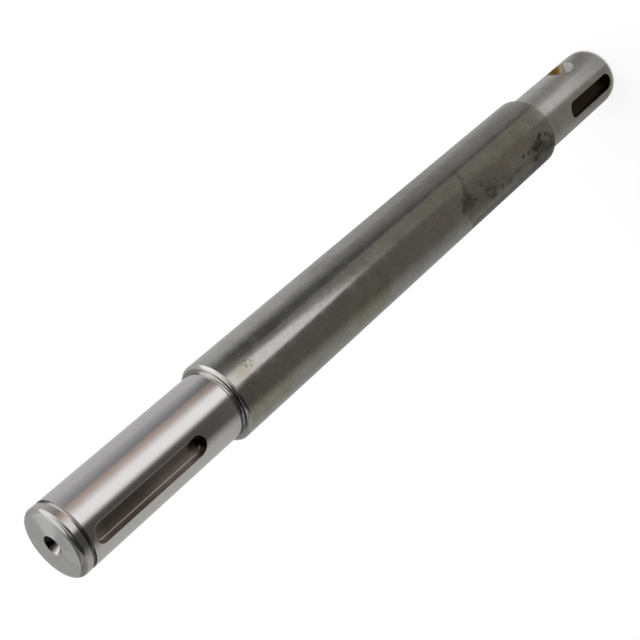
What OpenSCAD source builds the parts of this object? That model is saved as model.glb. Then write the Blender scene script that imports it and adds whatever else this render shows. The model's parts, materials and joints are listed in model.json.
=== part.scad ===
// Keyed drive shaft, turned from one bar and ground on both journals.
// It stands on its lower end: +Z runs along the axis and the key seats face +X.

/* [Journals] */
// Diameter of the upper journal
upper_d = 30; // [26:0.5:32]
// Length of the upper journal, from its end face to the shoulder
upper_len = 86; // [76:1:120]
// Diameter of the lower journal
lower_d = 30; // [26:0.5:32]
// Length of the lower journal, from its end face to the shoulder
lower_len = 68; // [56:1:110]

/* [Middle] */
// Diameter of the thick middle
middle_d = 35; // [33:0.5:60]
// Length of the thick middle, from shoulder to shoulder
middle_len = 236; // [60:1:500]
// Bevel on the middle's upper edge
upper_edge = 1; // [0.2:0.1:1.2]
// Bevel on the middle's lower edge
lower_edge = 0.5; // [0.2:0.1:1.2]

/* [Shoulder reliefs] */
// Width of the grinding relief beside each shoulder
relief_w = 2; // [1.6:0.1:3]
// Depth of the grinding relief below the journal
relief_depth = 0.3; // [0.1:0.05:0.5]
// Radius in the corner of the relief
relief_r = 0.6; // [0.4:0.1:0.8]
// Length of the relief's sloping start
relief_slope = 0.6; // [0.2:0.1:0.8]

/* [Ends] */
// Length of the bevel on each end, along the axis
end_bevel_len = 1.5; // [0.5:0.1:3]
// Depth of the bevel on each end, across the axis
end_bevel_depth = 1; // [0.5:0.1:2]
// Diameter of the centre hole's pilot
pilot_d = 4; // [2:0.5:5]
// Depth of the centre hole's pilot wall, from the end face
pilot_depth = 8; // [6.5:0.5:14]
// Mouth diameter of the centre hole's cone
centre_d = 8.5; // [6:0.5:10]
// Angle of the centre hole's cone
centre_angle = 60; // [60:15:90]

/* [Ring groove] */
// Distance from the upper end face to the groove
ring_gap = 4.5; // [3.5:0.1:5.5]
// Width of the retaining ring groove
ring_w = 1.6; // [1.1:0.1:2]
// Depth of the retaining ring groove
ring_depth = 0.7; // [0.3:0.1:1.2]

/* [Key seats] */
// Width of both key seats
key_w = 8; // [5:0.5:10]
// Depth of both key seats below the top of the journal
key_depth = 4; // [2:0.5:5]
// Length of the upper key seat
upper_key_len = 57; // [20:1:60]
// Distance from the upper end face to the upper key seat
upper_key_gap = 8.25; // [8:0.25:12]
// Length of the lower key seat
lower_key_len = 40; // [20:1:45]
// Distance from the lower end face to the lower key seat
lower_key_gap = 5.5; // [3:0.5:8]

/* [Screw seat] */
// Diameter of the drilled screw seat at the journal's surface
screw_seat_d = 16; // [8:1:18]
// Point angle of the drill that made the seat
drill_angle = 118; // [90:1:140]
// Distance from the lower end face to the middle of the screw seat
screw_seat_gap = 24.5; // [14:0.5:40]
// Direction of the screw seat, turned from the key seats
screw_seat_turn = 90; // [60:5:300]

/* [Hidden] */
$fn = 96;
// How far a cutter stands out of the metal, and a filler reaches into it
over = 1;
shaft_len = lower_len + middle_len + upper_len;

// Depth of a drill point of a given radius and point angle
function point_depth(r, angle) = r / tan(angle / 2);

// The thick middle, from z = 0 up, with both edges bevelled
module middle() {
    r = middle_d / 2;
    rotate_extrude()
        polygon([
            [0, 0],
            [r - lower_edge, 0],
            [r, lower_edge],
            [r, middle_len - upper_edge],
            [r - upper_edge, middle_len],
            [0, middle_len],
        ]);
}

// Half section of a journal that rises from its shoulder at y = 0, with its foot in the middle's metal
module journal_outline(r, length) {
    polygon([
        [0, -over],
        [r, -over],
        [r, length - end_bevel_len],
        [r - end_bevel_depth, length],
        [0, length],
    ]);
    translate([r - relief_depth, -over])
        square([relief_r, relief_r + over]);
}

// Half section of what the grinding relief and its round corner take away
module relief_cut(r) {
    floor_r = r - relief_depth;
    translate([floor_r + relief_r, relief_r])
        circle(relief_r);
    polygon([
        [floor_r, relief_r],
        [floor_r, relief_w - relief_slope],
        [r, relief_w],
        [r + relief_r, relief_w],
        [r + relief_r, relief_r],
    ]);
}

module journal(d, length) {
    rotate_extrude()
        difference() {
            journal_outline(d / 2, length);
            relief_cut(d / 2);
        }
}

// The turned form: both journals stand on the middle's shoulders
module turned_bar() {
    translate([0, 0, lower_len])
        middle();
    translate([0, 0, lower_len + middle_len])
        journal(upper_d, upper_len);
    translate([0, 0, lower_len])
        rotate([180, 0, 0])
            journal(lower_d, lower_len);
}

// A square ring that cuts the groove, from z = 0 up
module ring_groove_cut() {
    rotate_extrude()
        translate([upper_d / 2 - ring_depth, 0])
            square([ring_depth + over, ring_w]);
}

// A round-ended slot from z = 0 up, milled in from +X to its floor
module key_seat_cut(journal_d, length) {
    depth_cut = key_depth + over;
    translate([journal_d / 2 - key_depth, 0, 0]) {
        for (z = [key_w / 2, length - key_w / 2])
            translate([0, 0, z])
                rotate([0, 90, 0])
                    cylinder(d = key_w, h = depth_cut);
        translate([0, -key_w / 2, key_w / 2])
            cube([depth_cut, key_w, length - key_w]);
    }
}

// A cone left by a drill's point, opening towards +X
module screw_seat_cut() {
    seat_r = screw_seat_d / 2;
    depth = point_depth(seat_r, drill_angle);
    mouth = depth + over;
    translate([lower_d / 2 - depth, 0, screw_seat_gap])
        rotate([0, 90, 0])
            cylinder(r1 = 0, r2 = seat_r * mouth / depth, h = mouth);
}

// A lathe centre hole that opens downwards at z = 0
module centre_hole_cut() {
    cone_depth = point_depth(centre_d / 2, centre_angle);
    cone_len = cone_depth + over;
    tip = point_depth(pilot_d / 2, drill_angle);
    translate([0, 0, -over])
        cylinder(r1 = centre_d / 2 * cone_len / cone_depth, r2 = 0, h = cone_len);
    translate([0, 0, -over])
        cylinder(d = pilot_d, h = pilot_depth + over);
    translate([0, 0, pilot_depth])
        cylinder(d1 = pilot_d, d2 = 0, h = tip);
}

module drive_shaft() {
    color("lightslategray")
        difference() {
            turned_bar();
            translate([0, 0, shaft_len - ring_gap - ring_w])
                ring_groove_cut();
            translate([0, 0, shaft_len - upper_key_gap - upper_key_len])
                key_seat_cut(upper_d, upper_key_len);
            translate([0, 0, lower_key_gap])
                key_seat_cut(lower_d, lower_key_len);
            rotate([0, 0, screw_seat_turn])
                screw_seat_cut();
            centre_hole_cut();
            translate([0, 0, shaft_len])
                mirror([0, 0, 1])
                    centre_hole_cut();
        }
}

drive_shaft();
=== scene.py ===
# %% [markdown]
# # A keyed drive shaft
# The shaft is turned from one steel bar. It has a thick oiled middle, a ground journal at each end,
# two milled key seats, a ring groove and a drilled seat for a locking screw.
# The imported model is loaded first, because it fixes every size and place.
# All that follows is a finer mesh in the same frame, its finishes, and a small studio to see it in.

# %% Load the frame
import json
from math import cos, pi, radians, sin, sqrt, tan

import bmesh
import bpy
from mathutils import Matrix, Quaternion, Vector


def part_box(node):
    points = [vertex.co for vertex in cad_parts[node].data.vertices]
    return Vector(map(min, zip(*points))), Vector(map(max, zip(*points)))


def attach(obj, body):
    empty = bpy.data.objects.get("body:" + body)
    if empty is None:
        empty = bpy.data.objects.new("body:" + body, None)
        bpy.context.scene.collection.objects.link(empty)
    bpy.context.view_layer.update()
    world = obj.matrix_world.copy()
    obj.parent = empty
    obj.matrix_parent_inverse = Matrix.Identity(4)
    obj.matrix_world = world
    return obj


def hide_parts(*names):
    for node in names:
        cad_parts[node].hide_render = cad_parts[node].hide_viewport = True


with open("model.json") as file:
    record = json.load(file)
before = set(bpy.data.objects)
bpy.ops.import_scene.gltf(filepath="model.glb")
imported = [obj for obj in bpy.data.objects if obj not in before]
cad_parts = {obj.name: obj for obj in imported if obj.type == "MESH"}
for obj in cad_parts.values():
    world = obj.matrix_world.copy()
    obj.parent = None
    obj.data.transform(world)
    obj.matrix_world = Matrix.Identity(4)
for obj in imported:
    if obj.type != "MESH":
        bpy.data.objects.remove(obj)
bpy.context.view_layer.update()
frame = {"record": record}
mm = 0.001

# %% [markdown]
# ## The camera
# The camera comes first, so that each piece can be judged in the view that counts.
# A place, a point to look at and a roll are easier to read than three angles.
# The roll is large: the shaft stands upright here, and the picture shows it lying across the frame.

# %% Set the camera
camera_place = Vector((366.3, 228.9, 568.6)) * mm
camera_aim = Vector((1.3, -2.1, 238.9)) * mm
camera_roll = radians(131.4)
camera_lens = 74.06

camera_data = bpy.data.cameras.new("camera")
camera_data.lens = camera_lens
camera_data.clip_start = 10 * mm
camera = bpy.data.objects.new("camera", camera_data)
bpy.context.scene.collection.objects.link(camera)
look = (camera_aim - camera_place).to_track_quat("-Z", "Y")
camera.rotation_mode = "QUATERNION"
camera.rotation_quaternion = look @ Quaternion((0, 0, 1), -camera_roll)
camera.location = camera_place
bpy.context.scene.camera = camera
print("camera distance in mm:", round((camera_place - camera_aim).length / mm, 1))

# %% [markdown]
# ## Turning the bar
# A lathe makes the whole outline, so the mesh can be made the same way.
# It could be a profile that is spun round the axis, but then its seam has to be welded.
# Here a round disc is extruded up the axis and scaled to each new radius, step by step.
# The disc starts at the bottom of the lower centre hole and ends at the bottom of the upper one.

# %% Sizes of the shaft
mounts = {mount["name"]: mount for mount in frame["record"]["mounts"]}
journal_r = mounts["upper_journal"]["dims"]["r_mm"] * mm
middle_r = mounts["middle"]["dims"]["r_mm"] * mm
shaft_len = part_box("drive_shaft")[1].z
lower_len, upper_len = 68 * mm, 86 * mm
upper_shoulder = shaft_len - upper_len
lower_edge, upper_edge = 0.5 * mm, 1 * mm
relief_w, relief_depth, relief_r, relief_slope = 2 * mm, 0.3 * mm, 0.6 * mm, 0.6 * mm
bevel_len, bevel_depth = 1.5 * mm, 1 * mm
pilot_r, pilot_depth, cone_r = 2 * mm, 8 * mm, 4.25 * mm
drill_half_angle = radians(59)
cone_depth = (cone_r - pilot_r) / tan(radians(30))
drill_tip = pilot_r / tan(drill_half_angle)
ring_gap, ring_w, ring_depth = 4.5 * mm, 1.6 * mm, 0.7 * mm
groove_top = shaft_len - ring_gap
groove_bottom = groove_top - ring_w
print("shaft length in mm:", round(shaft_len / mm, 2))


# %% Work out the half section
corner_steps = 6


def end_steps(length):
    """Radius and distance from the end face, from the centre hole's bottom out to the shoulder."""
    floor_r = journal_r - relief_depth
    steps = [(pilot_r, pilot_depth), (pilot_r, cone_depth), (cone_r, 0)]
    steps += [(journal_r - bevel_depth, 0), (journal_r, bevel_len)]
    steps += [(journal_r, length - relief_w), (floor_r, length - relief_w + relief_slope)]
    for step in range(corner_steps + 1):
        turn = pi / 2 * step / corner_steps
        steps.append((floor_r + relief_r * (1 - cos(turn)), length - relief_r * (1 - sin(turn))))
    return steps


def section_steps():
    """The whole half section as radius and height, from the lower centre hole to the upper one."""
    lower = end_steps(lower_len)
    lower += [(middle_r - lower_edge, lower_len), (middle_r, lower_len + lower_edge)]
    lower += [(middle_r, upper_shoulder - upper_edge), (middle_r - upper_edge, upper_shoulder)]
    upper = [(r, shaft_len - gap) for r, gap in reversed(end_steps(upper_len))]
    groove = [(journal_r, groove_bottom), (journal_r - ring_depth, groove_bottom)]
    groove += [(journal_r - ring_depth, groove_top), (journal_r, groove_top)]
    below = [step for step in upper if step[1] < groove_bottom and step[0] > pilot_r]
    above = [step for step in upper if step not in below]
    return lower + below + groove + above


print("section:", len(section_steps()), "steps")

# %% Turn the outline
round_sides = 360
near = 0.01 * mm


def open_new(name):
    """Names the shape just added, fixes its place and opens it for editing."""
    piece = bpy.context.object
    piece.name = name
    bpy.ops.object.transform_apply(location=True, rotation=True)
    bpy.ops.object.mode_set(mode="EDIT")
    return piece


def unselected(piece):
    """The mesh of a piece in edit mode, with nothing selected."""
    mesh = bmesh.from_edit_mesh(piece.data)
    for element in (*mesh.verts, *mesh.edges, *mesh.faces):
        element.select = False
    return mesh


def select_verts(piece, chosen):
    """Selects the vertices of the piece in edit mode whose place the test accepts."""
    mesh = unselected(piece)
    for vert in mesh.verts:
        vert.select = chosen(vert.co)
    mesh.select_flush(True)
    bmesh.update_edit_mesh(piece.data)


def turn_bar(name, steps):
    """Extrudes a disc through the steps and gives it a drill point at each end."""
    radius, height = steps[0]
    bpy.ops.mesh.primitive_circle_add(
        vertices=round_sides, radius=radius, fill_type="TRIFAN", location=(0, 0, height))
    bar = open_new(name)
    for new_radius, new_height in steps[1:]:
        rise = (0, 0, new_height - height)
        bpy.ops.mesh.extrude_region_move(TRANSFORM_OT_translate={"value": rise})
        grow = new_radius / radius
        bpy.ops.transform.resize(value=(grow, grow, 1), center_override=(0, 0, new_height))
        radius, height = new_radius, new_height
    bpy.ops.mesh.select_all(action="SELECT")
    bpy.ops.mesh.normals_make_consistent(inside=False)
    for end_height, way in ((steps[0][1], 1), (steps[-1][1], -1)):
        select_verts(bar, lambda p: p.xy.length < near and abs(p.z - end_height) < near)
        bpy.ops.transform.translate(value=(0, 0, way * drill_tip))
    bpy.ops.object.mode_set(mode="OBJECT")
    return bar


shaft = turn_bar("shaft", section_steps())
print("turned:", len(shaft.data.vertices), "points,", len(shaft.data.polygons), "faces")

# %% [markdown]
# ## Breaking the edges
# No real edge is perfectly sharp, and each one catches a thin line of light.
# A bevel modifier would round all of them alike, but a lathe hand breaks some more than others.
# So each ring of edges is chosen by its radius and height, then bevelled by its own small width.

# %% Bevel the rings
bevel_segments = 4


def soften_ring(piece, radius, height, width):
    """Rounds the ring of edges that lies at this radius and height."""
    mesh = unselected(piece)
    for edge in mesh.edges:
        places = [vert.co for vert in edge.verts]
        edge.select = all(abs(p.xy.length - radius) < near and abs(p.z - height) < near for p in places)
    bmesh.update_edit_mesh(piece.data)
    bpy.ops.mesh.bevel(offset=width, segments=bevel_segments, affect="EDGES")


# Radius, height, and the width of the round in mm
soft_rings = [
    (journal_r - bevel_depth, 0, 1.1), (journal_r, bevel_len, 0.6),
    (journal_r - bevel_depth, shaft_len, 1.1), (journal_r, shaft_len - bevel_len, 0.6),
    (cone_r, 0, 0.15), (cone_r, shaft_len, 0.15),
    (middle_r - lower_edge, lower_len, 0.15), (middle_r, lower_len + lower_edge, 0.15),
    (middle_r - upper_edge, upper_shoulder, 0.25), (middle_r, upper_shoulder - upper_edge, 0.25),
    (journal_r, groove_top, 0.08), (journal_r, groove_bottom, 0.08),
    (journal_r - ring_depth, groove_bottom, 0.5),
    (journal_r, lower_len - relief_w, 0.1), (journal_r, upper_shoulder + relief_w, 0.1),
]
bpy.ops.object.mode_set(mode="EDIT")
bpy.ops.mesh.select_mode(type="EDGE")
for ring_r, ring_z, ring_round in soft_rings:
    soften_ring(shaft, ring_r, ring_z, ring_round * mm)
bpy.ops.mesh.select_mode(type="VERT")
bpy.ops.object.mode_set(mode="OBJECT")
print("rings rounded:", len(soft_rings))

# %% [markdown]
# ## Milling the key seats
# An end mill leaves a round-ended slot with a flat floor, and a file breaks its rim.
# The cutter is a cylinder whose upper half is pulled along the shaft, with a flared ring at its top.
# That ring is lifted onto the round of the journal, so the broken edge is equally wide all along.

# %% Make the seat cutters
key_w, key_depth = 8 * mm, 4 * mm
seat_floor_x = journal_r - key_depth
rim_break, rim_width = 0.14 * mm, 0.28 * mm
floor_round, floor_segments = 0.3 * mm, 3
cutter_over = 1 * mm
seat_sides = 96
upper_seat_z, upper_seat_len = shaft_len - 65.25 * mm, 57 * mm
lower_seat_z, lower_seat_len = 5.5 * mm, 40 * mm


def lift_to_journal(cutter, above):
    """Puts the selected points on the round of the journal, or a little above or below it."""
    mesh = bmesh.from_edit_mesh(cutter.data)
    for vert in mesh.verts:
        if vert.select:
            vert.co.x = sqrt(journal_r ** 2 - vert.co.y ** 2) + above
    bmesh.update_edit_mesh(cutter.data)


def seat_cutter(name, bottom, length):
    """A round-ended slot cutter that faces +X, from this height up."""
    middle = bottom + key_w / 2
    depth = key_depth - cutter_over
    bpy.ops.mesh.primitive_cylinder_add(
        vertices=seat_sides, radius=key_w / 2, depth=depth,
        location=(seat_floor_x + depth / 2, 0, middle), rotation=(0, pi / 2, 0))
    cutter = open_new(name)
    select_verts(cutter, lambda p: p.z > middle + near)
    bpy.ops.transform.translate(value=(0, 0, length - key_w))
    select_verts(cutter, lambda p: p.x < seat_floor_x + near)
    bpy.ops.mesh.bevel(offset=floor_round, segments=floor_segments, affect="EDGES")
    select_verts(cutter, lambda p: p.x > seat_floor_x + depth - near)
    lift_to_journal(cutter, -rim_break)
    bpy.ops.mesh.extrude_region_move(TRANSFORM_OT_translate={"value": (cutter_over, 0, 0)})
    flare = 2 * rim_width
    grow = (1, 1 + 2 * flare / key_w, 1 + 2 * flare / length)
    bpy.ops.transform.resize(value=grow, center_override=(0, 0, bottom + length / 2))
    lift_to_journal(cutter, rim_break)
    bpy.ops.mesh.extrude_region_move(TRANSFORM_OT_translate={"value": (3 * cutter_over, 0, 0)})
    bpy.ops.object.mode_set(mode="OBJECT")
    return cutter


cutters = [
    seat_cutter("upper_cutter", upper_seat_z, upper_seat_len),
    seat_cutter("lower_cutter", lower_seat_z, lower_seat_len),
]
print("seat cutters:", [len(cutter.data.polygons) for cutter in cutters], "faces")

# %% [markdown]
# ## Drilling the screw seat
# A large drill was run in just past its point, so the seat is a plain cone in a round surface.
# A cone primitive has the right sides, but its flat rim doesn't follow the journal.
# Each rim point is slid along its own side of the cone to where it meets the steel.
# One more ring, half way between the cone and the journal's slope, breaks the edge.

# %% Make the cone cutter
screw_seat_r, screw_seat_z = 8 * mm, 24.5 * mm
cone_rim_break = 0.3 * mm


def cone_cutter(name):
    """A drill point that faces +Y, with a rim that follows the journal."""
    depth = screw_seat_r / tan(drill_half_angle)
    apex = Vector((0, journal_r - depth, screw_seat_z))
    bpy.ops.mesh.primitive_cone_add(
        vertices=seat_sides, radius1=screw_seat_r, radius2=0, depth=depth,
        location=(0, journal_r - depth / 2, screw_seat_z), rotation=(pi / 2, 0, 0))
    cutter = open_new(name)
    select_verts(cutter, lambda p: p.y > apex.y + depth / 2)
    mesh = bmesh.from_edit_mesh(cutter.data)
    flares = {}
    for vert in mesh.verts:
        if vert.select:
            side = (vert.co - apex).normalized()
            spread = side.x ** 2 + side.y ** 2
            lean = apex.y * side.y
            reach = (sqrt(lean ** 2 + spread * (journal_r ** 2 - apex.y ** 2)) - lean) / spread
            vert.co = apex + side * (reach - cone_rim_break)
            out = Vector((vert.co.x, vert.co.y, 0)).normalized()
            slope = (side - side.dot(out) * out).normalized()
            flares[vert.index] = (side + slope).normalized() * 4 * cone_rim_break
    bmesh.update_edit_mesh(cutter.data)
    rim = [(vert.co.copy(), flares[vert.index]) for vert in mesh.verts if vert.select]
    bpy.ops.mesh.extrude_region_move()
    mesh = bmesh.from_edit_mesh(cutter.data)
    for vert in mesh.verts:
        if vert.select:
            vert.co += min(rim, key=lambda pair: (pair[0] - vert.co).length)[1]
    bmesh.update_edit_mesh(cutter.data)
    bpy.ops.mesh.extrude_region_move(TRANSFORM_OT_translate={"value": (0, 3 * cutter_over, 0)})
    bpy.ops.object.mode_set(mode="OBJECT")
    return cutter


cutters.append(cone_cutter("cone_cutter"))
print("cone cutter:", len(cutters[-1].data.polygons), "faces")

# %% [markdown]
# ## Cutting
# A boolean modifier takes each cutter out of the bar, and is applied at once.
# The turned strips are long and thin, so plain smooth shading would bend the light near the cuts.
# Edges over a set angle stay sharp, and weighted normals let the large faces decide the rest.

# %% Cut the seats and smooth the bar
sharp_angle = radians(22)
bpy.ops.object.select_all(action="DESELECT")
bpy.context.view_layer.objects.active = shaft
shaft.select_set(True)
for cutter in cutters:
    cut = shaft.modifiers.new("cut", "BOOLEAN")
    cut.operation = "DIFFERENCE"
    cut.solver = "EXACT"
    cut.object = cutter
    bpy.ops.object.modifier_apply(modifier=cut.name)
    bpy.data.objects.remove(cutter)
bpy.ops.object.shade_smooth_by_angle(angle=sharp_angle)
even = shaft.modifiers.new("even", "WEIGHTED_NORMAL")
even.keep_sharp = True
bpy.ops.object.modifier_apply(modifier=even.name)
print("cut shaft:", len(shaft.data.vertices), "points,", len(shaft.data.polygons), "faces")

# %% [markdown]
# ## Nodes for the finishes
# Every finish is painted by nodes, from the place on the shaft.
# A few short helpers keep the recipes readable: one puts a node down, one does a sum, one mixes colours.

# %% Helpers for nodes
def paint(red, green, blue):
    """A colour as read on a screen, 0 to 255, as the linear colour that a shader needs."""
    shares = [part / 255 for part in (red, green, blue)]
    linear = [((share + 0.055) / 1.055) ** 2.4 if share > 0.04 else share / 12.92 for share in shares]
    return (*linear, 1)


def feed(socket, value):
    """Links another socket into this one, or sets its value."""
    if isinstance(value, bpy.types.NodeSocket):
        socket.id_data.links.new(value, socket)
    else:
        socket.default_value = value


def put(tree, kind, inputs=None, **options):
    """Puts a node into the tree, with its options and inputs."""
    node = tree.nodes.new("ShaderNode" + kind)
    for option, value in options.items():
        setattr(node, option, value)
    for key, value in (inputs or {}).items():
        feed(node.inputs[key], value)
    return node


def sum_of(tree, operation, *values):
    """One step of arithmetic on values or sockets."""
    return put(tree, "Math", dict(enumerate(values)), operation=operation).outputs[0]


def times(tree, first, second):
    """The product of two values or sockets."""
    return sum_of(tree, "MULTIPLY", first, second)


def mix(tree, factor, first, second, way="MIX"):
    """Lays the second colour over the first, as much as the factor says."""
    node = put(tree, "Mix", {0: factor, 6: first, 7: second}, data_type="RGBA", blend_type=way)
    return node.outputs[2]


def ramp(tree, value, low, high, to_low=0, to_high=1):
    """A soft step from one value to another as the input goes from low to high."""
    inputs = {0: value, 1: low, 2: high, 3: to_low, 4: to_high}
    return put(tree, "MapRange", inputs, interpolation_type="SMOOTHSTEP").outputs[0]


print("node helpers ready")

# %% [markdown]
# ## Shared effects
# What several finishes need is built once, as a node group with named inputs and outputs.
# Stains sit at a height and at a turn round the axis, so one group works out both from Object coordinates.
# Grinding leaves fine broken lines round the bar. A noise squeezed along the axis gives them, with no seam.
# A patch is a film with ragged borders, and a blot is a soft round field from which stains are torn.

# %% Helpers for groups
def new_group(name, inputs, outputs):
    """An empty node group with number inputs and outputs, and the sockets inside it."""
    group = bpy.data.node_groups.new(name, "ShaderNodeTree")
    for title, value in inputs.items():
        socket = group.interface.new_socket(title, in_out="INPUT", socket_type="NodeSocketFloat")
        socket.default_value = value
    for title in outputs:
        group.interface.new_socket(title, in_out="OUTPUT", socket_type="NodeSocketFloat")
    inside = group.nodes.new("NodeGroupInput").outputs
    outside = group.nodes.new("NodeGroupOutput").inputs
    return group, inside, outside


def use_group(tree, group, **inputs):
    """Places a group in a tree, with its inputs by name, and returns its outputs."""
    node = tree.nodes.new("ShaderNodeGroup")
    node.node_tree = group
    for title, value in inputs.items():
        feed(node.inputs[title.replace("_", " ")], value)
    return node.outputs


print("group helpers ready")

# %% Place and lines
def place_group():
    """Height along the axis in mm, turn from the key seats in degrees, distance from the axis in mm."""
    tree, inside, outside = new_group("place on the shaft", {}, ["Height", "Turn", "Radius"])
    point = put(tree, "TexCoord").outputs["Object"]
    x, y, z = put(tree, "SeparateXYZ", {0: point}).outputs
    turn = sum_of(tree, "ARCTAN2", y, x)
    squares = [times(tree, side, side) for side in (x, y)]
    reach = sum_of(tree, "SQRT", sum_of(tree, "ADD", *squares))
    feed(outside["Height"], times(tree, z, 1 / mm))
    feed(outside["Turn"], sum_of(tree, "DEGREES", turn))
    feed(outside["Radius"], times(tree, reach, 1 / mm))
    return tree


def lines_group():
    """Fine lines round the axis, and a coarser unevenness, both about one half."""
    settings = {"Lines per mm": 3, "Length": 20}
    tree, inside, outside = new_group("lines round the bar", settings, ["Lines", "Cloud"])
    point = put(tree, "TexCoord").outputs["Object"]
    across = sum_of(tree, "DIVIDE", 1 / mm, inside["Length"])
    along = times(tree, inside["Lines per mm"], 1 / mm)
    stretch = put(tree, "CombineXYZ", {0: across, 1: across, 2: along}).outputs[0]
    squeezed = put(tree, "VectorMath", {0: point, 1: stretch}, operation="MULTIPLY").outputs[0]
    lines = put(tree, "TexNoise", {"Vector": squeezed, "Scale": 1, "Detail": 3, "Roughness": 0.6})
    cloud = put(tree, "TexNoise", {"Vector": point, "Scale": 120, "Detail": 4, "Roughness": 0.6})
    feed(outside["Lines"], lines.outputs[0])
    feed(outside["Cloud"], cloud.outputs[0])
    return tree


place_on_shaft = place_group()
lines_round_bar = lines_group()
print("groups:", place_on_shaft.name, "and", lines_round_bar.name)

# %% Patches and blots
mm_per_ragged, degrees_per_ragged = 4, 13
degrees_per_soft_mm = 3.3


def patch_group():
    """A soft field between two heights and two turns, whose ragged borders lean by mm per degree."""
    borders = {"Bottom": 0, "Top": 10, "From": 0, "To": 10}
    tree, inside, outside = new_group("patch", {**borders, "Lean": 0, "Soft": 1, "Ragged": 1}, ["Mask"])
    point = put(tree, "TexCoord").outputs["Object"]
    spot = use_group(tree, place_on_shaft)
    wander = put(tree, "TexNoise", {"Vector": point, "Scale": 300, "Detail": 3})
    parts = put(tree, "SeparateColor", {0: wander.outputs[1]}).outputs
    centred = [sum_of(tree, "SUBTRACT", part, 0.5) for part in parts]
    shift = [times(tree, part, inside["Ragged"]) for part in centred]
    leaning = times(tree, inside["Lean"], spot["Turn"])
    upright = sum_of(tree, "SUBTRACT", spot["Height"], leaning)
    height = sum_of(tree, "MULTIPLY_ADD", shift[0], mm_per_ragged, upright)
    turn = sum_of(tree, "MULTIPLY_ADD", shift[1], degrees_per_ragged, spot["Turn"])
    soft = inside["Soft"]
    soft_turn = times(tree, soft, degrees_per_soft_mm)
    mask = 1
    for value, low, high, width in ((height, "Bottom", "Top", soft), (turn, "From", "To", soft_turn)):
        for border, sign in ((inside[low], 1), (inside[high], -1)):
            way_in = times(tree, sum_of(tree, "SUBTRACT", value, border), sign)
            step = ramp(tree, way_in, times(tree, width, -1), width)
            mask = times(tree, mask, step)
    feed(outside["Mask"], mask)
    return tree


def blot_group():
    """A soft round field at a height and a turn, by its half height in mm and half width in degrees."""
    settings = {"Height": 0, "Turn": 0, "Tall": 1, "Wide": 5}
    tree, inside, outside = new_group("blot", settings, ["Mask"])
    place = use_group(tree, place_on_shaft)
    away = []
    for measure, size in (("Height", "Tall"), ("Turn", "Wide")):
        offset = sum_of(tree, "SUBTRACT", place[measure], inside[measure])
        away.append(sum_of(tree, "DIVIDE", offset, inside[size]))
    joined = put(tree, "CombineXYZ", dict(enumerate(away))).outputs[0]
    distance = put(tree, "VectorMath", {0: joined}, operation="LENGTH").outputs["Value"]
    feed(outside["Mask"], ramp(tree, distance, 1.5, 0.3))
    return tree


patch = patch_group()
blot = blot_group()
print("groups:", patch.name, "and", blot.name)

# %% [markdown]
# ## The steel
# Each finish is the same bare steel, worked in another way.
# All of them start from a metal shader and differ in colour, roughness and tool marks.
# They are collected by name, and later each face takes the one of its place.

# %% Start a finish
finishes = {}
mark_depth = 0.01 * mm


def new_finish(name):
    """A material with a Principled shader of bare metal, its tree and its shader."""
    material = bpy.data.materials.new(name)
    material.use_nodes = True
    tree = material.node_tree
    shader = tree.nodes["Principled BSDF"]
    shader.inputs["Metallic"].default_value = 1
    return material, tree, shader


def bump(tree, height, strength, distance):
    """Turns a height into a tilted normal. The distance is in metres."""
    node = put(tree, "Bump", {"Height": height, "Strength": strength, "Distance": distance})
    return node.outputs[0]


def away_from(tree, turn, middle):
    """How many degrees a turn round the axis lies from another one."""
    return sum_of(tree, "ABSOLUTE", sum_of(tree, "SUBTRACT", turn, middle))


print("finish helpers ready")

# %% [markdown]
# ## Ground journals
# A grinding wheel leaves the journals bright, with hair-fine lines round them.
# A plain low roughness would look like chrome, so the lines vary the colour, the roughness and the normal.
# The lower journal is a little duller than the upper one, and so is the strip beyond the ring groove.

# %% Ground steel
def ground_steel():
    material, tree, shader = new_finish("ground_steel")
    place = use_group(tree, place_on_shaft)
    marks = use_group(tree, lines_round_bar, Lines_per_mm=4, Length=12)
    cloud = marks["Cloud"]
    bright = mix(tree, cloud, paint(223, 220, 220), paint(232, 229, 229))
    dulled = mix(tree, ramp(tree, cloud, 0.3, 0.7), paint(205, 202, 198), paint(222, 219, 216))
    on_lower = ramp(tree, place["Height"], 75, 60)
    colour = mix(tree, on_lower, bright, dulled)
    colour = mix(tree, times(tree, marks["Lines"], 0.2), colour, paint(190, 188, 186))
    end_strip = ramp(tree, place["Height"], 385.2, 385.7)
    colour = mix(tree, end_strip, colour, paint(238, 236, 234), "MULTIPLY")
    feed(shader.inputs["Base Color"], colour)
    fine = ramp(tree, marks["Lines"], 0.2, 0.8, 0.15, 0.2)
    feed(shader.inputs["Roughness"], sum_of(tree, "MULTIPLY_ADD", on_lower, 0.1, fine))
    feed(shader.inputs["Normal"], bump(tree, marks["Lines"], 0.08, mark_depth))
    return material


finishes["ground"] = ground_steel()
print("finish:", finishes["ground"].name)

# %% [markdown]
# ## The oiled middle
# The middle is darker: a film of old oil lies on it, olive in places, and it has dirt and stains below.
# One noise texture would spread such marks evenly, and here each has its own place.
# So each mark is a patch or a blot at a height and a turn. Streaks stay soft, and noise tears the others.

# %% Marks on the middle
# Bottom and top in mm, first and last turn in degrees, strength
olive_films = [
    (275, 312, -30, 0, 0.5),
    (190, 312, -36, 4, 0.4),
    (190, 234, -30, 8, 0.5),
]
# Bottom and top in mm, first and last turn in degrees, softness in mm, tint
grime = [
    (40, 150.5, -120, -28.5, 0.6, paint(164, 163, 152)),
    (40, 150.5, -28.5, -5, 1.2, paint(222, 219, 212)),
    (40, 92, -28.5, -9, 3, paint(216, 213, 205)),
    (40, 98, -120, -29, 4, paint(208, 207, 200)),
    (64, 135, -120, -33, 4, paint(230, 230, 225)),
    (62, 94, -120, -37, 3, paint(206, 206, 198)),
]
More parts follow.
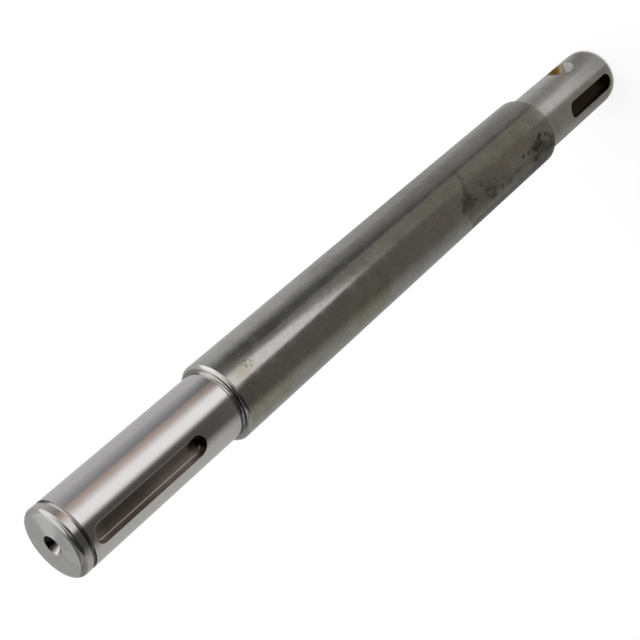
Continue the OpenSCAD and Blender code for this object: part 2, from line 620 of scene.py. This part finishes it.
# Height in mm, turn in degrees, half height in mm, half width in degrees, strength
streaks = [
    (80, -8, 13, 24, 0.22), (130, 2, 14, 20, 0.18), (99, -26, 9, 6, 0.35),
    (139, 54, 1, 7, 0.3), (140, 44, 1, 7, 0.32), (141.5, 35, 1, 7, 0.34), (143, 27, 1.2, 6, 0.4),
    (229, 86, 9, 10, 0.26), (222, 79, 10, 8, 0.24), (212, 75, 10, 5, 0.18), (228.5, 86, 2, 12, 0.24),
]
blotches = [
    (145, 10, 6.5, 12, 0.85), (149.5, 3, 1.8, 6, 0.95), (145, 22, 1.8, 4, 0.85), (140, 4, 3.5, 6, 0.8),
    (144, -1, 5, 4, 0.8), (132, 17, 1.8, 7, 0.75), (127, 0, 10, 15, 0.66), (125.5, -14, 3.5, 5, 1),
    (118, -11, 1.6, 6, 0.95), (130, 4, 2, 4, 0.8), (118, 1, 5, 6, 0.62), (111, -13, 5, 6, 0.6),
    (104, -9, 4, 5, 0.5),
]
spots = [
    (84, 3, 7, 10, 1), (75.5, 9, 2, 4, 0.58), (73, 3, 2.4, 4, 0.6), (80, 13, 3, 4, 0.85),
    (74, -17, 5, 7, 0.85), (80, -6, 8, 10, 0.75), (87, -15, 4.5, 7, 0.85), (71, -3, 3, 7, 0.6),
    (82, -27, 13, 9, 0.72), (77, -37, 8, 8, 0.8), (97, 5, 1.4, 3.4, 0.9), (92, 3, 2, 4, 0.8),
]
print("marks:", sum(len(rows) for rows in (olive_films, grime, streaks, blotches, spots)))


# %% Films and stains
def lay_films(tree, place, colour):
    """The olive films above the lower part of the middle, and the grime below, faded round its side."""
    above_line = ramp(tree, place["Height"], 208.6, 209.4)
    below_line = sum_of(tree, "SUBTRACT", 1, above_line)
    colour = mix(tree, below_line, colour, paint(255, 253, 249), "MULTIPLY")
    for bottom, top, start, end, strength in olive_films:
        film = use_group(tree, patch, Bottom=bottom, Top=top, From=start, To=end, Soft=3, Ragged=1.5)
        film = times(tree, times(tree, film["Mask"], above_line), strength)
        colour = mix(tree, film, colour, paint(244, 240, 214), "MULTIPLY")
    round_side = ramp(tree, place["Turn"], -86, -52)
    for bottom, top, start, end, soft, tint in grime:
        film = use_group(tree, patch, Bottom=bottom, Top=top, From=start, To=end, Lean=0.2, Soft=soft)
        film = times(tree, film["Mask"], round_side)
        colour = mix(tree, film, colour, tint, "MULTIPLY")
    return colour


def field_of(tree, rows):
    """The greatest of several blots, each as strong as its row says."""
    field = 0
    for height, turn, tall, wide, strength in rows:
        mask = use_group(tree, blot, Height=height, Turn=turn, Tall=tall, Wide=wide)["Mask"]
        field = sum_of(tree, "MAXIMUM", field, times(tree, mask, strength))
    return field


def stain_of(tree, mottle, grain):
    """How dark the stains are: soft streaks, and blotches and spots with torn borders."""
    stain = times(tree, field_of(tree, streaks), ramp(tree, mottle, 0.34, 0.56, 0.5, 1))
    ragged = times(tree, sum_of(tree, "SUBTRACT", mottle, 0.5), 1.6)
    ragged = sum_of(tree, "MULTIPLY_ADD", sum_of(tree, "SUBTRACT", grain, 0.5), 0.9, ragged)
    for rows, most in ((blotches, 0.62), (spots, 0.84)):
        torn = sum_of(tree, "ADD", field_of(tree, rows), ragged)
        stain = sum_of(tree, "MAXIMUM", stain, ramp(tree, torn, 0.12, 1.06, 0, most))
    return stain


print("stain helpers ready")


# %% Oiled steel
def oiled_steel():
    material, tree, shader = new_finish("oiled_steel")
    point = put(tree, "TexCoord").outputs["Object"]
    place = use_group(tree, place_on_shaft)
    marks = use_group(tree, lines_round_bar, Lines_per_mm=3, Length=6)
    cloud = marks["Cloud"]
    fine = {"Vector": point, "Scale": 800, "Detail": 3, "Roughness": 0.7}
    coarse = {"Vector": point, "Scale": 340, "Detail": 5, "Roughness": 0.65}
    grain = put(tree, "TexNoise", fine).outputs[0]
    mottle = put(tree, "TexNoise", coarse).outputs[0]
    colour = mix(tree, ramp(tree, cloud, 0.3, 0.7), paint(187, 186, 182), paint(201, 200, 196))
    colour = mix(tree, ramp(tree, grain, 0.35, 0.75, 0, 0.4), colour, paint(162, 160, 155))
    colour = lay_films(tree, place, colour)
    stain = stain_of(tree, mottle, grain)
    colour = mix(tree, stain, colour, paint(50, 49, 43))
    # Only a warm tint here, at one place on the middle.
    tint_and_painted_highlight = use_group(tree, blot, Height=295, Turn=42, Tall=5.5, Wide=9)
    colour = mix(tree, tint_and_painted_highlight["Mask"], colour, paint(243, 236, 222), "MULTIPLY")
    pitted = use_group(tree, blot, Height=291.5, Turn=44, Tall=2.6, Wide=9)
    pits = times(tree, pitted["Mask"], ramp(tree, grain, 0.5, 0.62, 0, 0.55))
    colour = mix(tree, pits, colour, paint(104, 94, 80))
    feed(shader.inputs["Base Color"], colour)
    dry = ramp(tree, cloud, 0.3, 0.7, 0.14, 0.2)
    feed(shader.inputs["Roughness"], sum_of(tree, "MULTIPLY_ADD", stain, 0.1, dry))
    feed(shader.inputs["Normal"], bump(tree, marks["Lines"], 0.15, mark_depth))
    return material


finishes["oiled"] = oiled_steel()
print("finish:", finishes["oiled"].name)

# %% [markdown]
# ## The turned ends
# A facing tool leaves fine rings on the end, and such a face throws the light back in sectors.
# The rings are a noise that depends on the radius alone, so they close by themselves.
# The bright sectors are a painted sheen: they are painted into the colour by the turn round the axis,
# because the rings are too fine to make them.
# Where the bevel rounds into the face it takes the face's colour and its painted sheen, so that no line
# shows there.

# %% Faced and bevelled steel
# The colour of the painted sheen on the turned end.
painted_sheen_colour = paint(243, 243, 240)


def new_turned(name, smooth, rough):
    """A finish with fine tool marks: its material and tree, its colour socket and its unevenness."""
    material, tree, shader = new_finish(name)
    marks = use_group(tree, lines_round_bar, Lines_per_mm=3, Length=2)
    feed(shader.inputs["Roughness"], ramp(tree, marks["Cloud"], 0.2, 0.8, smooth, rough))
    feed(shader.inputs["Normal"], bump(tree, marks["Lines"], 0.2, mark_depth))
    return material, tree, shader.inputs["Base Color"], marks["Cloud"]


def painted_sheen_sectors(tree, turn):
    """Painted sheen: where a turned end would throw the light back, one broad sector and one weak one."""
    broad = ramp(tree, away_from(tree, turn, 76), 12, 42, 1, 0)
    weak = ramp(tree, away_from(tree, turn, -16), 8, 24, 0.2, 0)
    return sum_of(tree, "MAXIMUM", broad, weak)


def faced_steel():
    material, tree, shader = new_finish("faced_steel")
    place = use_group(tree, place_on_shaft)
    cloud = use_group(tree, lines_round_bar, Lines_per_mm=3, Length=2)["Cloud"]
    by_radius = {"W": place["Radius"], "Scale": 4, "Detail": 2}
    rings = put(tree, "TexNoise", by_radius, noise_dimensions="1D").outputs[0]
    colour = mix(tree, ramp(tree, cloud, 0.3, 0.7), paint(195, 194, 192), paint(205, 205, 202))
    # Painted sheen laid over the face by the turn round the axis.
    colour = mix(tree, painted_sheen_sectors(tree, place["Turn"]), colour, painted_sheen_colour)
    colour = mix(tree, times(tree, rings, 0.3), colour, paint(190, 189, 187))
    feed(shader.inputs["Base Color"], colour)
    feed(shader.inputs["Roughness"], ramp(tree, cloud, 0.2, 0.8, 0.17, 0.23))
    feed(shader.inputs["Normal"], bump(tree, rings, 1, 2 * mark_depth))
    return material


def bevel_steel():
    material, tree, base, cloud = new_turned("bevel_steel", 0.15, 0.23)
    place = use_group(tree, place_on_shaft)
    colour = mix(tree, cloud, paint(206, 204, 200), paint(226, 224, 221))
    # Near the face the bevel takes the face's colour with its painted sheen.
    face = mix(tree, painted_sheen_sectors(tree, place["Turn"]), paint(198, 197, 195), painted_sheen_colour)
    feed(base, mix(tree, ramp(tree, place["Radius"], 14.5, 13.3), colour, face))
    return material


finishes["faced"] = faced_steel()
finishes["bevel"] = bevel_steel()
print("finishes:", finishes["faced"].name, "and", finishes["bevel"].name)

# %% [markdown]
# ## Shoulder, relief and groove
# The narrow places that a wheel can't reach stay as the lathe left them.
# The relief and the broken edge are clean turned steel. The shoulder has painted shade on one side and
# towards its sides.
# The ring groove is given a dark colour, with a painted highlight at one turn and another along its inner
# wall.

# %% Turned steel
def turned_steel(name, light, dark):
    material, tree, base, cloud = new_turned(name, 0.1, 0.18)
    feed(base, mix(tree, cloud, dark, light))
    return material


def shoulder_steel():
    material, tree, base, cloud = new_turned("shoulder_steel", 0.08, 0.14)
    place = use_group(tree, place_on_shaft)
    colour = mix(tree, cloud, paint(202, 199, 194), paint(224, 221, 217))
    # Painted shade: darker on one side of the shoulder's outer part.
    painted_shade_one_side = ramp(tree, away_from(tree, place["Turn"], 14), 62, 24)
    painted_shade_one_side = times(tree, painted_shade_one_side, ramp(tree, place["Radius"], 15.2, 15.5))
    colour = mix(tree, painted_shade_one_side, colour, paint(104, 100, 95), "MULTIPLY")
    # Painted shade: darker towards the sides, away from the turn that faces the front.
    painted_shade_at_sides = ramp(tree, away_from(tree, place["Turn"], 32), 56, 72, 0, 0.9)
    feed(base, mix(tree, painted_shade_at_sides, colour, paint(184, 182, 181), "MULTIPLY"))
    return material


def groove_steel():
    material, tree, base, cloud = new_turned("groove_steel", 0.14, 0.22)
    place = use_group(tree, place_on_shaft)
    colour = mix(tree, cloud, paint(114, 110, 110), paint(130, 126, 124))
    inner_wall = ramp(tree, place["Height"], 384.4, 384.1)
    # Painted highlight at one turn, weaker on the inner wall.
    painted_highlight = ramp(tree, away_from(tree, place["Turn"], 66), 38, 16)
    painted_highlight = times(tree, painted_highlight, sum_of(tree, "MULTIPLY_ADD", inner_wall, -0.45, 1))
    colour = mix(tree, painted_highlight, colour, paint(226, 219, 214))
    # Painted highlight along the inner wall, at another turn.
    tint_and_painted_highlight = ramp(tree, away_from(tree, place["Turn"], 20), 38, 20)
    tint_and_painted_highlight = times(tree, tint_and_painted_highlight, inner_wall)
    feed(base, mix(tree, tint_and_painted_highlight, colour, paint(238, 232, 227)))
    return material


finishes["relief"] = turned_steel("relief_steel", paint(232, 230, 227), paint(214, 212, 209))
finishes["shoulder"] = shoulder_steel()
finishes["edge"] = turned_steel("edge_steel", paint(240, 238, 235), paint(226, 224, 220))
finishes["groove"] = groove_steel()
print("finishes:", [finishes[place].name for place in ("relief", "shoulder", "edge", "groove")])

# %% [markdown]
# ## Milled key seats
# A milled floor is rougher than a turned face, and its walls are a little brighter than its floor.
# The upper seat is lighter towards both ends, with a painted shadow on its floor and end wall at its lower
# end.
# The lower seat is darkened with brown all over. Floor, walls and rim share one recipe with other values.

# %% Milled steel
# Heights in mm, each from where the effect starts to where it is full
worn_lengths = [(360, 342), (374, 379)]
# Painted shadow at the upper seat's lower end, on its floor and end wall, and a brown darkening over the
# lower seat.
painted_shadow_floor, painted_shadow_end_wall, lower_seat_darkening = (332.5, 328.5), (328.2, 327), (70, 60)


def milled_steel(name, light, dark, rough, wear, oiled):
    material, tree, base, cloud = new_turned(name, rough, rough + 0.08)
    place = use_group(tree, place_on_shaft)
    height, turn = place["Height"], place["Turn"]
    worn = 0
    for start, full in worn_lengths:
        worn = sum_of(tree, "MAXIMUM", worn, ramp(tree, height, start, full, 0, wear))
    colour = mix(tree, worn, mix(tree, cloud, dark, light), paint(232, 222, 214))
    # Painted shadow at the upper seat's lower end, and the lower seat darkened all over by the given share.
    floor_shadow = times(tree, ramp(tree, height, *painted_shadow_floor, 0, 0.92), ramp(tree, turn, -12, 1))
    wall = times(tree, ramp(tree, height, *painted_shadow_end_wall, 0, 0.96), ramp(tree, turn, -14, -8))
    painted_shade_and_darkening = sum_of(tree, "MAXIMUM", floor_shadow, wall)
    painted_shade_and_darkening = sum_of(tree, "MAXIMUM", painted_shade_and_darkening, ramp(tree, height, *lower_seat_darkening, 0, oiled))
    feed(base, mix(tree, painted_shade_and_darkening, colour, paint(104, 84, 60), "MULTIPLY"))
    return material


# Light and dark tone, roughness, share of wear, share of brown darkening in the lower seat
seat_finishes = {
    "seat_floor": (paint(150, 142, 134), paint(128, 121, 114), 0.42, 0.25, 0.8),
    "seat_wall": (paint(206, 196, 190), paint(188, 178, 172), 0.28, 0.3, 0.88),
    "seat_rim": (paint(196, 192, 186), paint(178, 174, 169), 0.2, 0, 0.9),
}
for place_name, values in seat_finishes.items():
    finishes[place_name] = milled_steel(place_name + "_steel", *values)
print("finishes:", [finishes[place].name for place in seat_finishes])

# %% [markdown]
# ## Drilled places
# The centre hole's cone is bright on one side, with painted shade on the other side and in the pilot hole.
# The screw seat has a golden tint and painted reflections, in bands from one rim to the other.
# A gradient across the seat with a few tints gives the bands, among them a painted highlight and a painted
# shadow line, and a noise makes them waver.

# %% Drilled steel
def centre_steel():
    material, tree, base, cloud = new_turned("centre_steel", 0.12, 0.2)
    place = use_group(tree, place_on_shaft)
    colour = mix(tree, cloud, paint(214, 210, 204), paint(236, 233, 228))
    # Painted shade: dark away from one turn, and dark in the narrow pilot hole.
    painted_shade_and_darkening = ramp(tree, away_from(tree, place["Turn"], -70), 30, 75)
    painted_shade_and_darkening = sum_of(tree, "MAXIMUM", painted_shade_and_darkening, ramp(tree, place["Radius"], 2.3, 2.05))
    feed(base, mix(tree, painted_shade_and_darkening, colour, paint(70, 62, 58)))
    return material


# Start and end of each change across the seat in mm, and the colour that it brings
screw_seat_tints_and_painted_light = [
    (-5, -3.2, paint(192, 192, 176)),
    # A dark line: painted shadow.
    (-2.9, -2.5, paint(128, 110, 90)),
    # A light crescent: painted highlight.
    (-2.4, -2, paint(236, 216, 180)),
    (-0.6, 1.5, paint(196, 164, 98)),
    (2, 4, paint(160, 130, 62)),
]
band_lean = -1.46
band_waver = 2 * mm


def screw_seat_steel():
    material, tree, shader = new_finish("screw_seat_steel")
    point = put(tree, "TexCoord").outputs["Object"]
    marks = use_group(tree, lines_round_bar, Lines_per_mm=3, Length=2)
    x, y, z = put(tree, "SeparateXYZ", {0: point}).outputs
    lean = sum_of(tree, "MULTIPLY_ADD", x, band_lean, sum_of(tree, "SUBTRACT", z, screw_seat_z))
    uneven = sum_of(tree, "SUBTRACT", marks["Cloud"], 0.5)
    across = sum_of(tree, "MULTIPLY_ADD", uneven, band_waver, lean)
    colour = mix(tree, marks["Cloud"], paint(222, 220, 216), paint(238, 236, 233))
    for low, high, tint in screw_seat_tints_and_painted_light:
        colour = mix(tree, ramp(tree, across, low * mm, high * mm), colour, tint)
    feed(shader.inputs["Base Color"], colour)
    feed(shader.inputs["Roughness"], ramp(tree, across, -2.6 * mm, -2.2 * mm, 0.45, 0.32))
    feed(shader.inputs["Normal"], bump(tree, marks["Lines"], 0.2, mark_depth))
    return material


finishes["drilled"] = centre_steel()
finishes["screw_seat"] = screw_seat_steel()
print("finishes:", finishes["drilled"].name, "and", finishes["screw_seat"].name)

# %% [markdown]
# ## Which face gets which finish
# The shaft stays one mesh, as it is one piece of steel, so each face is given a material slot.
# Faces could be picked by hand, but a rule on their place still works when a size changes.

# %% Give each face its finish
skin, rim_skin = 0.02 * mm, 0.05 * mm
groove_margin, bevel_margin = 0.1 * mm, 0.5 * mm
screw_seat_start = 9 * mm
wall_start = seat_floor_x + skin
key_seats = ((upper_seat_z, upper_seat_len), (lower_seat_z, lower_seat_len))
shoulders = ((lower_len, -1, lower_edge), (upper_shoulder, 1, upper_edge))


def in_key_seat(x, y, z):
    """Whether a place below the journal's surface lies in a key seat or its rim."""
    in_width = x > seat_floor_x - cutter_over and abs(y) < key_w / 2 + rim_width
    return in_width and any(abs(z - low - size / 2) < size / 2 + rim_width for low, size in key_seats)


def finish_of(face):
    """The finish of a face, by where it lies."""
    x, y, z = face.center
    reach = sqrt(x * x + y * y)
    below_journal = reach < journal_r - skin
    from_end = min(z, shaft_len - z)
    if reach < cone_r:
        return "drilled"
    if below_journal and in_key_seat(x, y, z):
        if reach > journal_r - rim_break:
            return "seat_rim"
        return "seat_floor" if x < wall_start else "seat_wall"
    if y > screw_seat_start and reach < journal_r - rim_skin and abs(z - screw_seat_z) < screw_seat_r:
        return "screw_seat"
    if below_journal and groove_bottom - groove_margin < z < groove_top + groove_margin:
        return "groove"
    if from_end < bevel_len + bevel_margin and reach < journal_r - near:
        return "faced" if from_end < near else "bevel"
    if reach > middle_r - skin:
        return "oiled"
    for shoulder_z, way, edge_size in shoulders:
        above = (z - shoulder_z) * way
        if -edge_size < above < relief_w:
            if above < -skin:
                return "edge"
            return "relief" if above > relief_r else "shoulder"
    return "ground"


shaft.data.materials.clear()
for material in finishes.values():
    shaft.data.materials.append(material)
slots = list(finishes)
for face in shaft.data.polygons:
    face.material_index = slots.index(finish_of(face))
used = [slots[face.material_index] for face in shaft.data.polygons]
print("faces by finish:", {slot: used.count(slot) for slot in slots})

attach(shaft, "root")
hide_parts("drive_shaft")

# %% [markdown]
# ## The studio
# The floor and the sky are white to the camera and in reflections, and give plain soft light otherwise.
# Near the shaft the floor keeps a share of its shading, so that a faint shadow stays under the steel.
# Further off that share fades out, and no horizon shows.

# %% Floor
floor_size = 12
floor_drop = 0.1 * mm
shadow_share = 0.15
shadow_near, shadow_far = 0.1, 0.9


def light_rays(tree):
    """One where the camera, a mirror or clear glass looks, and nought for scattered light."""
    rays = put(tree, "LightPath").outputs
    seen = sum_of(tree, "MAXIMUM", rays["Is Camera Ray"], rays["Is Glossy Ray"])
    return sum_of(tree, "MAXIMUM", seen, rays["Is Transmission Ray"])


bpy.ops.mesh.primitive_plane_add(size=floor_size, location=(0, 0, -floor_drop))
floor = bpy.context.object
floor.name = "floor"
bpy.ops.object.transform_apply(location=True)
pale = bpy.data.materials.new("pale_floor")
pale.use_nodes = True
tree = pale.node_tree
tree.nodes.clear()
lit = put(tree, "BsdfDiffuse", {"Color": (0.95, 0.95, 0.95, 1)}).outputs[0]
white = put(tree, "Emission", {"Color": (1, 1, 1, 1), "Strength": 1}).outputs[0]
floor_point = put(tree, "TexCoord").outputs["Object"]
from_shaft = put(tree, "VectorMath", {0: floor_point}, operation="LENGTH").outputs["Value"]
whiteness = ramp(tree, from_shaft, shadow_near, shadow_far, 1 - shadow_share, 1)
seen_floor = put(tree, "MixShader", {0: whiteness, 1: lit, 2: white}).outputs[0]
either = put(tree, "MixShader", {0: light_rays(tree), 1: lit, 2: seen_floor}).outputs[0]
put(tree, "OutputMaterial", {"Surface": either})
floor.data.materials.append(pale)
print("floor:", floor_size, "m wide")

# %% World
sky_strength = 0.5
world = bpy.data.worlds.new("studio")
world.use_nodes = True
bpy.context.scene.world = world
tree = world.node_tree
tree.nodes.clear()
soft_sky = put(tree, "Background", {"Color": (1, 1, 1, 1), "Strength": sky_strength}).outputs[0]
white_sky = put(tree, "Background", {"Color": (1, 1, 1, 1), "Strength": 1}).outputs[0]
either = put(tree, "MixShader", {0: light_rays(tree), 1: soft_sky, 2: white_sky}).outputs[0]
put(tree, "OutputWorld", {"Surface": either})
print("sky strength:", sky_strength)

# %% [markdown]
# ## The cards
# Bare metal has almost no colour of its own: it shows what stands around it.
# So the shaft stands among cards, as a photographer sets them, which are seen only in reflections.
# Seen from above, an upright wall mirrors the floor: the lower journal shows the floor close by,
# the middle shows the floor further out, and the upper journal shows it beyond that.
# The flat cards lie there, in sectors. The others stand or lean above them, for the ends and shoulders.

# %% Make a card
camera_bearing = 32
card_columns = 24
card_lift = 1


def as_colour(shade):
    """A shade as a colour: a single number is a neutral grey."""
    return Vector(shade) if isinstance(shade, tuple) else Vector((shade, shade, shade))


def card_finish(name):
    """A material that glows in the shades painted on the card."""
    material = bpy.data.materials.new(name)
    material.use_nodes = True
    tree = material.node_tree
    tree.nodes.clear()
    shade = put(tree, "VertexColor", layer_name="shade").outputs["Color"]
    glow = put(tree, "Emission", {"Color": shade, "Strength": 1}).outputs[0]
    put(tree, "OutputMaterial", {"Surface": glow})
    return material


def card(name, *rows):
    """A card through rows of distance and height in mm, first and last bearing, and one or two shades.

    Bearings run clockwise from the camera. The shades blend evenly across each row and between rows.
    """
    bpy.ops.mesh.primitive_grid_add(x_subdivisions=card_columns, y_subdivisions=len(rows) - 1, size=1)
    sheet = bpy.context.object
    sheet.name = name
    shades = sheet.data.color_attributes.new("shade", "FLOAT_COLOR", "POINT")
    for vert in sheet.data.vertices:
        row = round((vert.co.y + 0.5) * (len(rows) - 1))
        across = vert.co.x + 0.5
        distance, height, start, end, *ends = rows[row]
        bearing = radians(camera_bearing - start - (end - start) * across)
        vert.co = Vector((distance * cos(bearing), distance * sin(bearing), height)) * mm
        shades.data[vert.index].color = (*as_colour(ends[0]).lerp(as_colour(ends[-1]), across), 1)
    sheet.data.materials.append(card_finish(name))
    sheet.visible_camera = False
    sheet.visible_diffuse = False
    sheet.visible_shadow = False
    sheet.visible_transmission = False
    return sheet


def flat_card(name, *rows):
    """A card that lies on the floor."""
    return card(name, *((distance, card_lift, *rest) for distance, *rest in rows))


print("a card has", card_columns, "columns")

# %% Flat cards
lower_in, lower_out = 16, 71
middle_in, middle_out = 72, 496
upper_in, wall_at = 501, 1400

sand, warm_white = (0.37, 0.29, 0.25), (0.52, 0.44, 0.40)
deep_blue, pale_blue, cool = (0.18, 0.19, 0.20), (0.28, 0.28, 0.30), (0.54, 0.54, 0.56)
right_grey = (0.46, 0.46, 0.44)
brown_grey, dim_brown, brown_line = (0.26, 0.24, 0.21), (0.22, 0.20, 0.18), (0.15, 0.14, 0.12)
earth, far_earth = (0.14, 0.13, 0.12), (0.18, 0.17, 0.15)
mid_earth, pale_earth = (0.20, 0.19, 0.17), (0.24, 0.23, 0.21)
black_earth, foot_earth, foot_right = (0.08, 0.075, 0.07), (0.21, 0.20, 0.18), (0.29, 0.28, 0.26)

cards = [
    flat_card("left", (lower_in, -180, -100, 0.60, 0.46), (lower_out, -180, -100, 0.58, 0.50),
        (middle_in, -180, -124, 0.60, 0.42), (175, -180, -102, 0.31, 0.41),
        (268, -180, -97, 0.45, 0.47), (middle_out, -180, -98, 0.60, 0.58),
        (upper_in, -180, -96, cool, 0.48), (wall_at, -180, -96, 0.64, 0.52)),
    flat_card("blue", (lower_in, -100, -66, 0.46, 0.22), (lower_out, -100, -68, 0.50, 0.31),
        (middle_in, -124, -53, 0.40, 0.23), (175, -102, -55, 0.31, 0.18),
        (268, -97, -60, 0.42, 0.11), (middle_out, -98, -75, 0.57, 0.09),
        (upper_in, -96, -60, 0.42, deep_blue), (wall_at, -96, -58, 0.50, pale_blue)),
    flat_card("sand", (lower_in, -66, -34, dim_brown, 0.25), (lower_out, -68, -34, brown_grey, 0.46),
        (middle_in, -53, -43, brown_line), (175, -55, -44, 0.12),
        (268, -60, -46, 0.10, 0.11), (middle_out, -75, -46, 0.08),
        (upper_in, -60, -45, sand, warm_white), (wall_at, -58, -42, sand, warm_white)),
    flat_card("haze", (lower_in, -34, 4, 0.29, 0.37), (lower_out, -34, 4, 0.80),
        (middle_in, -43, 8, pale_earth, mid_earth), (290, -46, -4, pale_earth),
        (367, -46, -24, 0.17, 0.32), (middle_out, -46, -34, 0.14, 0.33),
        (upper_in, -45, -26, warm_white, 0.95), (wall_at, -42, -22, warm_white, 0.95)),
    flat_card("band_edge", (upper_in, 0, 12, 0.95, black_earth), (wall_at, 4, 16, 0.95, black_earth)),
    flat_card("dark", (lower_in, 4, 78, foot_earth), (lower_out, 4, 78, foot_earth),
        (middle_in, 8, 62, far_earth), (290, -4, 62, earth),
        (367, 1.5, 62, earth), (middle_out, 3.4, 62, earth),
        (upper_in, 12, 62, black_earth), (wall_at, 16, 60, black_earth)),
    flat_card("dusk", (lower_in, 78, 110, foot_earth, 0.28), (lower_out, 78, 110, foot_earth, 0.31),
        (middle_in, 62, 110, far_earth, 0.29), (175, 62, 112, earth, 0.29),
        (290, 62, 98, earth, 0.31), (middle_out, 62, 84, earth, 0.33),
        (upper_in, 62, 87, black_earth, right_grey), (wall_at, 60, 104, black_earth, right_grey)),
    flat_card("right", (lower_in, 110, 180, foot_right, 0.32), (lower_out, 110, 180, foot_right, 0.34),
        (middle_in, 110, 180, 0.29, 0.13), (120, 111, 180, 0.29, 0.18), (175, 112, 180, 0.29, 0.40),
        (290, 98, 180, 0.31, 0.38), (middle_out, 84, 180, 0.33, 0.44),
        (upper_in, 87, 180, right_grey), (wall_at, 104, 180, right_grey)),
]
print("flat cards:", [sheet.name for sheet in cards])

# %% Leaning cards
# Distance and height in mm of the lines between which the cards lean
foot_line, top_line, top_middle = (wall_at, 1), (700, 2600), (10, 2600)
left_line, right_line = (1070, 1225), (1130, 1000)

cards += [
    card("upper_left", (*foot_line, -180, -108, 0.32, 0.44), (*left_line, -180, -108, 0.34, 0.46)),
    card("high_left", (*left_line, -180, -108, 0.50, 0.62), (*top_line, -180, -108, 0.55, 0.62)),
    card("upper_fade", (*foot_line, -70, -10, 1.0, 0.1), (*top_line, -70, -10, 1.0, 0.08)),
    card("upper_dark", (*foot_line, -10, 76, 0.04, 0.02), (*top_line, -10, 76, 0.03, 0.02)),
    card("low_right", (*foot_line, 76, 180, 0.34, 0.24), (*right_line, 76, 180, 0.26, 0.22)),
    card("upper_right", (*right_line, 76, 180, 0.18, 0.14), (*top_line, 76, 180, 0.20, 0.12)),
    card("ceiling", (*top_line, -10, 180, 0.06, 0.12), (*top_middle, -10, 180, 0.06, 0.12)),
    card("left_strip", (800, 780, -72, 14, 0.74, 0.60), (800, 1260, -72, 14, 0.74, 0.60)),
    card("right_strip", (1000, 1200, 74, 150, 0.36, 0.34), (1000, 1500, 74, 150, 0.36, 0.34)),
    card("back", (1000, 1, 160, 200, 0.49), (1000, 1090, 160, 200, 0.49)),
]
print("all cards:", len(cards))

# %% [markdown]
# ## The lamp
# One soft disc from above gives the floor its faint shadow.
# It stays out of the reflections, because the cards already give the steel what it shows.

# %% Lamp
lamp_place = Vector((-0.3, 0.3, 1.6))
lamp_size, lamp_power = 1.2, 20
lamp_data = bpy.data.lights.new("softbox", "AREA")
lamp_data.shape = "DISK"
lamp_data.size = lamp_size
lamp_data.energy = lamp_power
lamp = bpy.data.objects.new("softbox", lamp_data)
lamp.location = lamp_place
lamp.rotation_euler = (-lamp_place).to_track_quat("-Z", "Y").to_euler()
lamp.visible_glossy = False
bpy.context.scene.collection.objects.link(lamp)
print("lamp:", lamp_power, "W at", round(lamp_place.z, 2), "m")

# %% [markdown]
# ## Finish
# The colours are shown as they are written.

# %% Finish
bpy.context.scene.view_settings.view_transform = "Standard"
